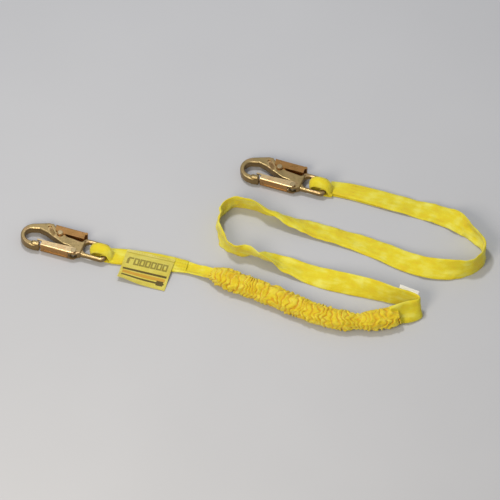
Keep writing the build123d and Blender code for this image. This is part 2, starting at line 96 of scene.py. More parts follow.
MAIN_LOOKS = [
    (70, 30, 9.0, 0, 0.2), (60, 33, 5.0, 1.0, 0.9), (54, 34, 3.4, 1.4, 1.0),
    (68, 33, 3.2, 0.5, 0.7), (110, 32, 3.2, 0, 0.5), (96, 32, 3.0, 0, 0.4),
    (105, 32, 3.0, 0.5, 0.6), (122, 32, 3.0, 1.0, 0.9), (138, 32, 3.0, 1.0, 1.0),
    (150, 32, 3.0, 0.8, 1.2), (168, 32, 3.0, 0.5, 1.6), (188, 32, 3.0, -2.0, 1.6),
    (212, 31, 3.0, -6.0, 1.6), (240, 31, 3.0, -6.5, 1.8), (260, 32, 3.0, -1.5, 2.2),
    (268, 32, 3.0, 1.2, 2.4), (275, 32, 3.0, 1.4, 2.4), (279, 32, 3.0, 0.8, 2.4),
    (277, 32, 3.0, 1.5, 2.6), (274, 32, 3.0, 1.0, 2.6), (281, 32, 3.0, -2.0, 2.2),
    (300, 31, 3.0, -6.0, 1.8), (326, 31, 3.0, -5.0, 1.4), (345, 32, 3.0, -0.6, 1.2),
    (355, 32, 3.0, 0, 1.0), (360, 32, 3.0, 0, 1.0), (366, 32, 3.0, 0, 1.0),
    (376, 32, 3.0, 0.6, 1.1), (393, 32, 3.0, 1.2, 1.3), (420, 32, 3.0, 1.4, 1.2),
    (446, 32, 3.0, 1.2, 1.2), (451, 32, 3.0, 0.5, 1.2), (453, 31, 3.0, -1.2, 1.8),
    (460, 31, 3.0, -2.6, 2.4), (494, 31, 3.0, -2.6, 2.6), (528, 32, 3.0, -0.8, 2.0),
    (540, 32, 3.0, 0, 1.0), (540, 31, 3.0, 0, 0.5), (540, 29, 3.0, 0, 0.3),
    (540, 28, 3.0, 0, 0.3), (540, 23.5, 2.9, -0.5, 0),
]
UPPER_PLY_ROUTE = [
    (-0.2125, -0.0156, 0.0048), (-0.1900, -0.0180, 0.0048), (-0.1620, -0.0230, 0.0048),
    (-0.1320, -0.0286, 0.0048), (-0.0980, -0.0375, 0.0038),
]
UPPER_PLY_LOOKS = [
    (0, 28, 3.0, -0.5, 0), (0, 29, 3.0, 0, 0.3), (0, 29, 3.0, 0, 0.3), (0, 28, 2.4, 0, 0.3),
    (0, 24, 1.3, 0, 0.3),
]
LOWER_PLY_ROUTE = [
    (0.116, 0.1155, 0.0016), (0.142, 0.1105, 0.0016), (0.172, 0.1006, 0.0016), (0.206, 0.088, 0.0016),
]
LOWER_PLY_LOOKS = [(0, 26, 2.9, 0, 0), (0, 28, 2.9, 0, 0.1), (0, 29, 2.9, 0, 0.1), (0, 28, 2.6, 0, 0.1)]

ROW_STEP = 0.002           # between two rows of a strap's mesh
ACROSS = 17                # points across a strap's face
FLOOR_SKIN = 0.0001        # the lowest that a mesh goes
SELVAGE = (0.86, 0.08, 0.10)     # the thicker edge: its middle and width as shares of the strap, its swell
SECTION_POWER = 7          # how late the strap's section rounds off
LEAN_POWER = 1.5           # how close to its selvage an edge's wander stays
CUP_LEVEL = 0.33           # the share of the cup that keeps the cupped strap's middle on its route
# How the cloth leaves the flat: a share of the look's ripple, then the noise's steps per metre and, for
# dents and creases, its steps across half the strap.
WANDER_SLOW = (1.9, 26)
WANDER_FAST = (0.9, 61)
DENT = (1.3, 38, 1.3)
CREASE = (1.5, 62, 1.7)
CREASE_LEVEL = 0.2
NARROWING = (0.010, 1.6, 33)     # share of the width per mm of ripple, how much that varies, steps per metre

# ---------------------------------------------------------------- hooks, in mm as the CAD has them
HOOK_LIFT = 9.0
HOOK_YAW = math.radians(-19.5)
HOOK_A_TIP = (-345.0, 21.0)
HOOK_B_TIP = (-19.0, 149.0)
EYE_BAR_X = 131.3
LOOP_Y = 6.5
# The webbing's loose fold through the hook's eye, seen from the side in mm from the eye's bar.
EYE_FOLD = [
    (14.0, -4.3), (10.6, -4.1), (8.8, 1.0), (5.8, 10.4), (-1.5, 14.2), (-9.0, 14.6), (-17.5, 11.8),
    (-22.4, 4.4), (-20.6, -4.6), (-13.0, -7.4), (-3.0, -7.5), (5.0, -7.5), (13.0, -7.4),
]
EYE_FOLD_LOOKS = [
    (0, 24, 2.6, 0, 0), (0, 21, 2.8, 0.6, 0.1), (0, 17.4, 3.0, 3.0, 0.1), (0, 18.0, 3.0, 6.5, 0.2),
    (0, 18.6, 3.2, 8.5, 0.4), (0, 18.6, 3.2, 8.5, 0.4), (0, 18.4, 3.2, 7.5, 0.3), (0, 18.4, 3.0, 4.5, 0.2),
    (0, 18.4, 2.8, 2.0, 0.1), (0, 18.8, 2.6, 0, 0), (0, 18.8, 2.6, 0, 0), (0, 19.5, 2.6, 0, 0),
    (0, 21.5, 2.5, 0, 0),
]
SIDE_START = 8.6           # from here on the fold's sewn end drifts aside, to meet the strap
SIDE_STEP = 0.6            # mm aside per mm along
PAD_R = 5.85
PAD_LOOK = (0, 18, 0.8, 0, 0)
PAD_ANGLES = range(62, 299, 26)
POCKET_CENTRE = (43.4, 17.0)
POCKET_TURN = math.radians(-49)
POCKET_HALF_LENGTH = 10.8
POCKET_HALF_WIDTH = 4.0

# ---------------------------------------------------------------- label, in mm
LABEL_CORNER = (-188.0, -11.0)
LABEL_YAW = math.radians(-16.5)
LABEL_WIDTH = 74.0
LABEL_COLUMNS = 60
LABEL_TOP = 6.9            # height of its sewn edge
LABEL_LOW = 0.9            # height of its free edge
LABEL_BEND = (17.0, 33.0)  # where it starts to bend down, and over what length
CURL_HEIGHT = 6.6          # of the free edge's left-hand corner
CURL_ACROSS = 26.0
CURL_DOWN = (24.0, 28.0)
CURL_POWER = 1.6
CURL_PULL = 0.35           # how far the curled corner is drawn back, as a share of its height
BELLY_HEIGHT = 0.5
BELLY_DOWN = (10, 42.0)
FLAP = (0.3, 52.0, 44, 0.7)      # from and to below the sewn edge, rows, thickness
HEM = (-5.5, -0.75, 4, 0.9)
LABEL_ROW = (3.3, -3.25, 0.9, 18)     # first stitch's place on the label, its rise, number of stitches

# ---------------------------------------------------------------- tag, in metres, but its looks as a strap's
TAG_YAW = math.radians(-25.6)
TAG_SHIFT = Vector((-0.0015, 0.0028, -0.0006))
TAG_HALF_LENGTH = 0.016
TAG_WAVE = (0.0003, 9)     # height, and its rate in radians per half length
TAG_STATIONS = (-1.0, -0.62, -0.2, 0.24, 0.6, 1.0)     # of its half length
TAG_LOOKS = [
    (44, 8, 0.8, 0, 0), (46, 8, 0.8, 0.3, 0.2), (48, 8, 0.8, 0.2, 0.2), (50, 8, 0.8, 0.1, 0.2),
    (48, 8, 0.8, 0.3, 0.2), (44, 8, 0.8, 0, 0),
]

# ---------------------------------------------------------------- stitches: places in mm, own size in metres
SEW_ROWS = (-9.0, -3.0, 3.0, 9.0)
STITCH_PITCH = 4.0
STITCH_TOP = 6.3
STITCH_HALF_LENGTH = 0.00125
STITCH_R = 0.00042
STITCH_FLATNESS = 0.8
STITCH_END = 0.02          # keeps a stitch's ends from closing to a point
STITCH_SIDES = 6
STITCH_RINGS = 5
SEWN_END_A = ((-117.0, -32.2), math.radians(-15.6), 5)     # first stitch, heading, stitches in a row
SEWN_END_B = ((146.0, 109.2), math.radians(-18.3), 6)

# ---------------------------------------------------------------- absorber's gathered sleeve, in metres
ABSORBER_ROUTE = [
    (-0.061, -0.056, 0.0122), (-0.040, -0.067, 0.0122), (-0.014, -0.080, 0.0122),
    (0.014, -0.0925, 0.0122), (0.042, -0.108, 0.0122), (0.070, -0.123, 0.0122),
    (0.098, -0.1375, 0.0122), (0.126, -0.147, 0.0122), (0.156, -0.151, 0.0122),
    (0.184, -0.1475, 0.0122), (0.216, -0.1385, 0.0122),
]
SLEEVE_STEP = 0.0008       # between two rings of its mesh
SLEEVE_ROUND = 84          # points in a ring
SLEEVE_HALF_WIDTH = 0.0150
SLEEVE_HALF_HEIGHT = 0.0115
SLEEVE_SQUARENESS = 0.82   # below 1 is a rounded box: the core inside is a folded pack
CLOTH_PER_LENGTH = 1.7     # the gathered cloth's own length, per length of sleeve
NEAR_PINCH = (0.42, 0.010)       # depth and length, at the sleeve's two ends and its waist
FAR_PINCH = (0.16, 0.008)
WAIST_PINCH = (0.27, 0.038)
WAIST_CALM = (0.30, 0.10)
WAIST = 0.79               # share of the sleeve's length where it is drawn in
PLEATS = 36
PLEAT_SWAYS = ((0.015, 9, 0), (0.012, 23, 1), (0.004, 61, 0))     # size, rate and start along the sleeve
PLEAT_SHEAR = 0.18         # how far a pleat slants across the sleeve, in pleats
PLEAT_ROUNDNESS = 0.7      # below 1 the pleats are full and the valleys sharp
PLEAT_DEPTH = 0.0042
PLEAT_LEVEL = 0.55         # the share of a pleat's height that lies on the sleeve's plain outline
PLEAT_HEIGHT_SHARE = 0.85  # of the pleats' depth, above and below
SECOND_PLEATS = (2.03, 1.6, 0.3)      # smaller pleats between: number to a pleat, drift and start
SECOND_ROUNDNESS = 0.9
SECOND_SHARE = 0.34        # of the pleats' depth
# Noise round the sleeve: its size, its steps per metre along, and its reach round the sleeve.
SLOW_DRIFT = (1.25, 26, 0.8)
FAST_DRIFT = (0.75, 85, 1.8)
DEPTH_CHANGE = (1.15, 62, 1.6)
DEPTH_MIDDLE = 0.74
FINE_BUMPS = (0.0012, 210, 5)
TIP_SWAY = 0.0016          # the pleats' tips lean along the sleeve
TIP_TURN = (3, 20, 3.3)
VALLEY_SHADE_SHARES = (0.75, 0.25, 0.1)       # of the pleats, the smaller ones and the least, in the painted valley shade's value: where it stays low, the valleys are painted darker


# ================================================================ small tools
def nurbs(points):
    """Points along the smooth curve that has these control points."""
    curve = bpy.data.curves.new("line", "CURVE")
    curve.dimensions = "3D"
    curve.resolution_u = 40
    spline = curve.splines.new("NURBS")
    spline.points.add(len(points) - 1)
    for point, place in zip(spline.points, points):
        point.co = (*place, 1.0)
    spline.order_u = 3
    spline.use_endpoint_u = True
    holder = bpy.data.objects.new("line", curve)
    mesh = bpy.data.meshes.new_from_object(holder)
    line = np.array([v.co for v in mesh.vertices], float)
    bpy.data.objects.remove(holder)
    bpy.data.curves.remove(curve)
    bpy.data.meshes.remove(mesh)
    return line


def evenly(line, step, *others):
    """The line and what goes with it, at even steps along the line."""
    gaps = np.linalg.norm(np.diff(line, axis=0), axis=1)
    along = np.concatenate([[0.0], np.cumsum(gaps)])
    count = max(3, int(round(along[-1] / step)) + 1)
    at = np.linspace(0.0, along[-1], count)
    spread = [np.stack([np.interp(at, along, column) for column in part.T], axis=1)
              for part in (line, *others)]
    return at, spread


def unit(vectors):
    return vectors / np.linalg.norm(vectors, axis=-1, keepdims=True)


def wave(*place):
    """Smooth noise from -1 to 1."""
    return noise.noise(Vector(place))


def round_wave(s, ca, sa, look, start=0, lift=0):
    """Noise that closes round a tube: at s along it, and at the angle with this cosine and sine."""
    size, rate, reach = look
    return size * wave(s * rate + start, reach * ca, reach * sa + lift)


def pinch(distance, depth, length):
    """A smooth dip round a place."""
    return depth * math.exp(-(distance / length) ** 2)


def progress(value, start, length):
    """0 up to the start, then rising in step with the value."""
    return max(0.0, (value - start) / length)


def in_hook(tip, u, v, z):
    """A point given in the hook's own frame, in mm."""
    c, w = math.cos(HOOK_YAW), math.sin(HOOK_YAW)
    return ((tip[0] + u * c - v * w) * MM, (tip[1] + u * w + v * c) * MM, (HOOK_LIFT + z) * MM)


def add_mesh(name, points, faces, material, corner_uvs=None, smooth=True):
    """A piece from points and faces. Its UVs, one per face corner, are metres of cloth."""
    mesh = bpy.data.meshes.new(name)
    mesh.from_pydata([tuple(p) for p in points], [], faces)
    if corner_uvs is not None:
        layer = mesh.uv_layers.new(name="cloth")
        layer.data.foreach_set("uv", np.array(corner_uvs, np.float32).ravel())
    mesh.materials.append(material)
    mesh.update()
    if smooth:
        mesh.shade_smooth()
    piece = bpy.data.objects.new(name, mesh)
    bpy.context.scene.collection.objects.link(piece)
    return piece


def at_corners(uvs, faces):
    """The points' UVs, once per face corner."""
    return [uvs[i] for face in faces for i in face]


def tube_mesh(name, rings, uv_rings, material):
    """A closed skin over rings of points. Each ring of UVs repeats its first point, for the seam."""
    rows, count = rings.shape[:2]
    faces = []
    corner_uvs = []
    for r in range(rows - 1):
        for c in range(count):
            d = (c + 1) % count
            faces.append((r * count + c, r * count + d, (r + 1) * count + d, (r + 1) * count + c))
            corner_uvs += [uv_rings[r, c], uv_rings[r, c + 1], uv_rings[r + 1, c + 1], uv_rings[r + 1, c]]
    for r, order in ((0, range(count - 1, -1, -1)), (rows - 1, range(count))):
        faces.append(tuple(r * count + c for c in order))
        corner_uvs += [uv_rings[r, c] for c in order]
    return add_mesh(name, rings.reshape(-1, 3), faces, material, corner_uvs)


def frames_along(line):
    """Along, left and up at each point of a line that never stands upright."""
    along = unit(np.gradient(line, axis=0))
    left = unit(np.cross(np.array([0.0, 0.0, 1.0]), along))
    up = np.cross(along, left)
    return along, left, up


def strap(name, route, looks, material, seed, fixed=None):
    """A flat tubular strap along a route, twisted, cupped and rippled as its looks say.

    Fixed is the direction across the whole strap, where the route is too steep for a roll.
    """
    line = nurbs(route)
    turn = nurbs([look[:3] for look in looks])
    shape = nurbs([(look[3], look[4], 0.0) for look in looks])
    at, (line, turn, shape) = evenly(line, ROW_STEP, turn, shape)
    along, left, up = frames_along(line)
    roll = np.radians(turn[:, 0:1])
    across = left * np.cos(roll) + up * np.sin(roll)
    if fixed is not None:
        across = np.tile(np.array(fixed), (len(line), 1))
    normal = np.cross(along, across)
    # round the section: v is the share of the half width, and face is 1 above and -1 below
    share = np.sin(np.linspace(-math.pi / 2, math.pi / 2, ACROSS))
    section = [(v, 1) for v in share] + [(v, -1) for v in share[-2:0:-1]]
    selvage_at, selvage_width, selvage_swell = SELVAGE
    rings = np.zeros((len(at), len(section), 3))
    uvs = np.zeros((len(at), len(section) + 1, 2))
    for r, s in enumerate(at):
        width, thick = turn[r, 1] * MM, turn[r, 2] * MM
        cup, ripple = shape[r][0] * MM, shape[r][1] * MM
        # the two selvages wander on their own
        edge = [ripple * (WANDER_SLOW[0] * wave(s * WANDER_SLOW[1], seed, 7 * k)
                          + WANDER_FAST[0] * wave(s * WANDER_FAST[1], seed + 3, 7 * k)) for k in (0, 1)]
        narrow = 1 - NARROWING[0] * ripple / MM * (1 + NARROWING[1] * wave(s * NARROWING[2], seed + 9, 2.0))
        for c, (v, face) in enumerate(section):
            swell = 1 + selvage_swell * math.exp(-((abs(v) - selvage_at) / selvage_width) ** 2)
            half = 0.5 * thick * math.sqrt(max(0.0, 1 - abs(v) ** SECTION_POWER)) * swell
            lean = edge[0] * (0.5 - 0.5 * v) ** LEAN_POWER + edge[1] * (0.5 + 0.5 * v) ** LEAN_POWER
            dent = DENT[0] * ripple * wave(s * DENT[1], v * DENT[2] + seed, 4.0)
            valley = abs(wave(s * CREASE[1], v * CREASE[2] + seed, 8.0)) - CREASE_LEVEL
            crease = CREASE[0] * ripple * valley
            lift = cup * (v * v - CUP_LEVEL) + lean + (dent + crease) + face * half
            rings[r, c] = line[r] + across[r] * (v * width / 2 * narrow) + normal[r] * lift
            uvs[r, c] = (s, (v + face * 3) * width / 2)
        uvs[r, len(section)] = uvs[r, 0]
    rings[..., 2] = np.maximum(rings[..., 2], FLOOR_SKIN)
    return tube_mesh(name, rings, uvs, material), line


def stand_in(piece, body, slot, *nodes):
    """The piece moves with a body and takes the place of CAD nodes; its colour slot is not used."""
    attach(piece, body)
    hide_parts(*nodes)


# ================================================================ materials
class Nodes:
    """A new material, with short ways to add and join its shader nodes."""

    def __init__(self, name):
        self.material = bpy.data.materials.new(name)
        self.material.use_nodes = True
        self.tree = self.material.node_tree
        self.shader = self.tree.nodes["Principled BSDF"]

    def add(self, kind, **values):
        node = self.tree.nodes.new(kind)
        for key, value in values.items():
            setattr(node, key, value)
        return node

    def join(self, source, target):
        self.tree.links.new(source, target)

    def feed(self, socket, value):
        """Join an output to the socket, or set the socket to a number or a colour."""
        if hasattr(value, "links"):
            self.join(value, socket)
        elif isinstance(value, tuple) and len(value) < len(socket.default_value):
            socket.default_value = (*value, 1.0)
        else:
            socket.default_value = value

    def math(self, operation, *values):
        node = self.add("ShaderNodeMath", operation=operation)
        for socket, value in zip(node.inputs, values):
            self.feed(socket, value)
        return node.outputs[0]

    def plus(self, first, second):
        return self.math("ADD", first, second)

    def minus(self, first, second):
        return self.math("SUBTRACT", first, second)

    def times(self, first, second):
        return self.math("MULTIPLY", first, second)

    def coordinate(self, kind):
        return self.add("ShaderNodeTexCoord").outputs[kind]

    def cloth_uv(self):
        return self.add("ShaderNodeUVMap", uv_map="cloth").outputs[0]

    def split(self, vector):
        node = self.add("ShaderNodeSeparateXYZ")
        self.join(vector, node.inputs[0])
        return node.outputs

    def noise(self, vector, scale, detail=3.0):
        node = self.add("ShaderNodeTexNoise")
        node.inputs["Scale"].default_value = scale
        node.inputs["Detail"].default_value = detail
        self.join(vector, node.inputs["Vector"])
        return node.outputs["Fac"]

    def ramp(self, value, stops):
        node = self.add("ShaderNodeValToRGB")
        while len(node.color_ramp.elements) < len(stops):
            node.color_ramp.elements.new(0.5)
        for element, (place, colour) in zip(node.color_ramp.elements, stops):
            element.position = place
            element.color = (*colour, 1.0)
        self.join(value, node.inputs["Fac"])
        return node.outputs["Color"]

    def mix(self, factor, first, second, blend="MIX"):
        node = self.add("ShaderNodeMix", data_type="RGBA", blend_type=blend)
        for socket, value in zip((node.inputs[0], node.inputs[6], node.inputs[7]), (factor, first, second)):
            self.feed(socket, value)
        return node.outputs[2]

    def bump(self, height, distance, strength=1.0, below=None):
        node = self.add("ShaderNodeBump")
        node.inputs["Distance"].default_value = distance
        node.inputs["Strength"].default_value = strength
        self.join(height, node.inputs["Height"])
        if below is not None:
            self.join(below, node.inputs["Normal"])
        return node.outputs["Normal"]

    def set(self, **values):
        for key, value in values.items():
            self.feed(self.shader.inputs[key.replace("_", " ")], value)


def linear(red, green, blue):
    """A screen colour, 0 to 255, as the renderer's light values."""
    return tuple((c / 255 / 12.92) if c <= 10 else ((c / 255 + 0.055) / 1.055) ** 2.4
                 for c in (red, green, blue))


def scaled(colour, share):
    return tuple(min(1.0, share * c) for c in colour)


RIB_SHARE = 0.45           # of the warp ribs in the weave's height
PATCH_STRETCH = (0.45, 1.6, 1.0)
GAP_COLOUR_SHARE = 0.62
FUZZ_SHARE = 0.16          # of loose pale fibres over the colour
SHEEN_TINT = (1.0, 0.93, 0.62)


def woven(name, colour, deep, pale, warp=0.0011, weft=0.0013, valley_shade_colour=None):
    """Woven cloth: ribs along it, weft across it, soft wear. The last colour, when given, is painted shade laid
    into the valleys of gathered pleats.

    Warp and weft are the threads' spacing in metres.
    """
    n = Nodes(name)
    uv = n.cloth_uv()
    length, width = n.split(uv)[:2]
    along = n.math("SINE", n.times(length, 2 * math.pi / weft))
    across = n.math("SINE", n.times(width, 2 * math.pi / warp))
    weave = n.plus(n.times(along, across), n.times(across, RIB_SHARE))
    place = n.coordinate("Object")
    stretch = n.add("ShaderNodeVectorMath", operation="MULTIPLY")
    stretch.inputs[1].default_value = PATCH_STRETCH
    n.join(uv, stretch.inputs[0])
    blotch = n.noise(place, scale=55.0, detail=4.0)
    streak = n.noise(stretch.outputs[0], scale=80.0, detail=4.0)
    speck = n.noise(place, scale=900.0, detail=2.0)
    worn = n.ramp(n.times(n.plus(blotch, streak), 0.5), [(0.34, deep), (0.49, colour), (0.64, pale)])
    gap = n.times(n.plus(weave, 1.0 + RIB_SHARE), 0.35)       # 0 between the threads, about 1 on them
    threads = n.ramp(gap, [(0.0, scaled(deep, GAP_COLOUR_SHARE)), (0.35, WHITE), (1.0, WHITE)])
    tint = n.mix(0.5, worn, threads, "MULTIPLY")
    fuzz = n.mix(n.times(speck, FUZZ_SHARE), tint, pale)
    if valley_shade_colour:
        # painted shade: where the mesh marks a pleat's valley, the colour is multiplied by the darker valley
        # colour
        depth = n.add("ShaderNodeAttribute", attribute_name="painted_valley_shade").outputs["Fac"]
        fuzz = n.mix(1.0, fuzz, n.ramp(depth, [(0.25, valley_shade_colour), (0.80, WHITE)]), "MULTIPLY")
    fine = n.bump(weave, distance=0.00016, strength=0.8)
    soft = n.bump(n.noise(place, scale=160.0), distance=0.0006, strength=0.35, below=fine)
    n.set(Base_Color=fuzz, Roughness=0.62, Specular_IOR_Level=0.35, Normal=soft)
    n.set(Sheen_Weight=0.35, Sheen_Roughness=0.4, Sheen_Tint=SHEEN_TINT)
    n.set(Subsurface_Weight=0.05, Subsurface_Scale=0.002, Subsurface_Radius=(1.0, 0.7, 0.2))
    return n


def pocket_painted_shade_and_rim_highlight(n, place, tip):
    """Painted shade inside the forged pocket beside the lever's ear, and a painted highlight round its rim."""
    centre = in_hook(tip, *POCKET_CENTRE, 0.0)
    x, y = n.split(place)[:2]
    dx, dy = n.minus(x, centre[0]), n.minus(y, centre[1])
    turn = HOOK_YAW + POCKET_TURN
    c, w = math.cos(turn), math.sin(turn)
    along = n.plus(n.times(dx, c), n.times(dy, w))
    aside = n.minus(n.times(dy, c), n.times(dx, w))
    a = n.math("DIVIDE", along, POCKET_HALF_LENGTH * MM)
    b = n.math("DIVIDE", aside, POCKET_HALF_WIDTH * MM)
    far = n.math("SQRT", n.plus(n.times(a, a), n.times(b, b)))
    edge = 0.6             # where the ramp has the pocket's edge
    # the stops below 1 are painted shade inside the pocket, those above 1 a painted highlight on its rim
    return n.ramp(n.times(far, edge), [(0.0, (0.55, 0.46, 0.36)), (0.38, (0.66, 0.56, 0.46)),
                                       (0.52, (1.5, 1.5, 1.5)), (0.66, (1.3, 1.3, 1.3)), (0.80, WHITE)])


def zinc(name, colour, patches, side_shade_colour, shine=0.20, tip=None):
    """Steel with a yellow zinc finish: patches on the flats, painted shade in a browner colour on the faces
    that turn aside from the top, and small scratches.
    """
    n = Nodes(name)
    place = n.coordinate("Object")
    patch = n.noise(place, scale=60.0)
    spots = n.noise(place, scale=420.0)
    gold = n.ramp(patch, [(0.32, scaled(colour, 0.78)), (0.5, colour), (0.68, patches)])
    # painted shade: faces turned aside from straight up take the darker side colour, the flat faces keep the
    # finish's own colour
    height = n.math("ABSOLUTE", n.split(n.coordinate("Normal"))[2])
    flat_lit_share = n.ramp(height, [(0.25, BLACK), (0.85, WHITE)])
    gold = n.mix(flat_lit_share, side_shade_colour, gold)
    # painted shade in the lever's pocket and a painted highlight round its rim
    if tip:
        gold = n.mix(1.0, gold, pocket_painted_shade_and_rim_highlight(n, place, tip), "MULTIPLY")
    tint = n.mix(n.times(spots, 0.30), gold, scaled(colour, 1.25))
    rough = n.plus(n.times(spots, 0.22), shine)
    waves = n.bump(patch, distance=0.0008, strength=0.20)
    scratches = n.bump(n.noise(place, scale=700.0, detail=4.0), distance=0.0002, strength=0.18, below=waves)
    n.set(Base_Color=tint, Metallic=0.85, Roughness=rough, Normal=scratches)
    return n.material


# The label's print, generic bars and boxes: left, right, top and bottom of each in mm from its sewn corner.
BOXES = 6
BOX_PITCH = 8.8
BOX_OUTSIDE = (16, 24.2, 8.0, 21.5)
BOX_INSIDE = (18.6, 21.8, 11, 18.5)
CORNER_BARS = [(7, 15, 8.0, 11.2), (5.4, 9.4, 10.5, 21.0)]
DARK_BARS = [(3, 71, 28.4, 31.8), (4, 70, 40.6, 43.6), (58, 68.5, 38.0, 46.0)]
ORANGE_BAND = (4, 70, 33.4, 38.6)


def printed_label(name):
    """The label's cloth with its printed bars: no lettering."""
    n = woven(name, linear(222, 208, 88), linear(212, 196, 72), linear(230, 220, 112), 0.0005, 0.0005)
    across, down = n.split(n.cloth_uv())[:2]

    def patch(left, right, top, bottom):
        """1 inside a rectangle of the label."""
        near_x = n.math("ABSOLUTE", n.minus(across, (left + right) / 2 * MM))
        near_y = n.math("ABSOLUTE", n.minus(down, (top + bottom) / 2 * MM))
        inside_x = n.math("LESS_THAN", near_x, (right - left) / 2 * MM)
        inside_y = n.math("LESS_THAN", near_y, (bottom - top) / 2 * MM)
        return n.times(inside_x, inside_y)

    def union(rectangles):
        total = patch(*rectangles[0])
        for rectangle in rectangles[1:]:
            total = n.math("MAXIMUM", total, patch(*rectangle))
        return total

    def row_of(box):
        left, right, top, bottom = box
        return [(left + BOX_PITCH * i, right + BOX_PITCH * i, top, bottom) for i in range(BOXES)]

    outlines = n.minus(union(row_of(BOX_OUTSIDE)), union(row_of(BOX_INSIDE)))
    row = n.math("MAXIMUM", outlines, union(CORNER_BARS))
    ink = n.shader.inputs["Base Color"].links[0].from_socket
    for print_area, cover, colour in ((row, 0.72, linear(112, 96, 26)),
                                      (patch(*ORANGE_BAND), 0.8, linear(208, 150, 44)),
                                      (union(DARK_BARS), 0.92, linear(70, 52, 24))):
        ink = n.mix(n.times(print_area, cover), ink, colour)
    n.set(Base_Color=ink)
    return n.material


webbing = woven("webbing_yellow", linear(228, 212, 22), linear(224, 196, 18), linear(236, 230, 98)).material
# the last colour is painted shade for the sleeve's pleat valleys
sleeve_cloth = woven("sleeve_yellow", linear(234, 210, 24), linear(226, 186, 14), linear(244, 226, 74),
                     0.0009, 0.0010, valley_shade_colour=linear(234, 186, 100)).material
thread = woven("thread_yellow", linear(232, 196, 60), linear(206, 162, 30), linear(244, 220, 110),
               0.0004, 0.0006).material
white_cloth = woven("tag_white", linear(244, 244, 240), linear(234, 234, 228), linear(250, 250, 248),
                    0.0006, 0.0006).material
label_plain = woven("label_cloth", linear(226, 214, 96), linear(214, 200, 70), linear(238, 228, 130),
                    0.0005, 0.0005).material
label_printed = printed_label("label_printed")
# the last colour of each zinc is painted shade for the faces turned aside from the top
zinc_gate = zinc("zinc_gate", linear(218, 192, 146), linear(206, 170, 124), linear(158, 110, 52))
zinc_lever = zinc("zinc_lever", linear(168, 126, 74), linear(176, 130, 84), linear(132, 90, 44))
zinc_rivet = zinc("zinc_rivet", linear(168, 150, 114), linear(160, 144, 112), linear(120, 98, 64), shine=0.28)
spring_wire = zinc("spring_wire", linear(140, 140, 140), linear(160, 158, 150), linear(110, 110, 108),
                   shine=0.34)

# ================================================================ webbing
main_webbing, main_line = strap("main_webbing", MAIN_ROUTE, MAIN_LOOKS, webbing, 11.3)
near_webbing, near_line = strap("near_webbing", NEAR_ROUTE, NEAR_LOOKS, webbing, 23.7)
upper_ply, _ = strap("near_upper_ply", UPPER_PLY_ROUTE, UPPER_PLY_LOOKS, webbing, 31.1)
lower_ply, _ = strap("far_lower_ply", LOWER_PLY_ROUTE, LOWER_PLY_LOOKS, webbing, 37.9)
stand_in(main_webbing, ROOT, "webbing", "main_strap", "turnback")
stand_in(near_webbing, ROOT, "webbing", "near_strap")
stand_in(upper_ply, ROOT, "webbing", "sewn_tail_a")
stand_in(lower_ply, ROOT, "webbing", "sewn_tail_b")


def hook_ribbon(name, node, tip, side_view, looks, seed):
    """A ribbon whose side view is given in mm, right and up from the middle of the eye's bar."""
    route = [in_hook(tip, EYE_BAR_X + x, LOOP_Y + SIDE_STEP * max(0.0, x - SIDE_START), z)
             for x, z in side_view]
    across = (-math.sin(HOOK_YAW), math.cos(HOOK_YAW), 0.0)
    piece, _ = strap(name, route, looks, webbing, seed, across)
    stand_in(piece, ROOT, "webbing", node)


for letter, tip, seed in (("a", HOOK_A_TIP, 51.7), ("b", HOOK_B_TIP, 57.3)):
    hook_ribbon(f"eye_loop_webbing_{letter}", f"eye_loop_{letter}", tip, EYE_FOLD, EYE_FOLD_LOOKS, seed)
    pad_line = [(PAD_R * math.cos(a), PAD_R * math.sin(a)) for a in map(math.radians, PAD_ANGLES)]
    hook_ribbon(f"wear_pad_sleeve_{letter}", f"wear_pad_{letter}", tip, pad_line,
                [PAD_LOOK] * len(pad_line), seed + 1)


# ================================================================ label, tag and stitches
def label_point(x, y, rise=0.0):
    """A point of the label, x along its sewn edge and y down from it, in mm."""
    bend = min(1.0, progress(y, *LABEL_BEND))
    drop = LABEL_TOP - (LABEL_TOP - LABEL_LOW) * (bend * bend * (3 - 2 * bend))
    curl = pinch(x, CURL_HEIGHT, CURL_ACROSS) * progress(y, *CURL_DOWN) ** CURL_POWER
    belly = BELLY_HEIGHT * math.sin(math.pi * x / LABEL_WIDTH) * progress(y, *BELLY_DOWN)
    c, w = math.cos(LABEL_YAW), math.sin(LABEL_YAW)
    down = y - CURL_PULL * curl
    return ((LABEL_CORNER[0] + x * c + down * w) * MM, (LABEL_CORNER[1] + x * w - down * c) * MM,
            (drop + curl + belly + rise) * MM)


def label_sheet(name, start, end, rows, thick, material):
    """A sheet between the given distances from the label's sewn edge."""
    columns = LABEL_COLUMNS
    points, faces, uvs = [], [], []
    for rise in (thick, 0.0):
        for r in range(rows + 1):
            y = start + (end - start) * r / rows
            for c in range(columns + 1):
                x = LABEL_WIDTH * c / columns
                points.append(label_point(x, y, rise))
                uvs.append((x * MM, y * MM))
    layer = (columns + 1) * (rows + 1)
    for r in range(rows):
        for c in range(columns):
            a = r * (columns + 1) + c
            b = a + columns + 1
            faces.append((a, b, b + 1, a + 1))
            faces.append((layer + a, layer + a + 1, layer + b + 1, layer + b))
    rim = list(range(columns + 1))
    rim += [(r + 1) * (columns + 1) - 1 for r in range(1, rows + 1)]
    rim += [rows * (columns + 1) + c for c in range(columns - 1, -1, -1)]
    rim += [r * (columns + 1) for r in range(rows - 1, 0, -1)]
    for a, b in zip(rim, rim[1:] + rim[:1]):
        faces.append((a, b, layer + b, layer + a))
    return add_mesh(name, points, faces, material, at_corners(uvs, faces), smooth=False)


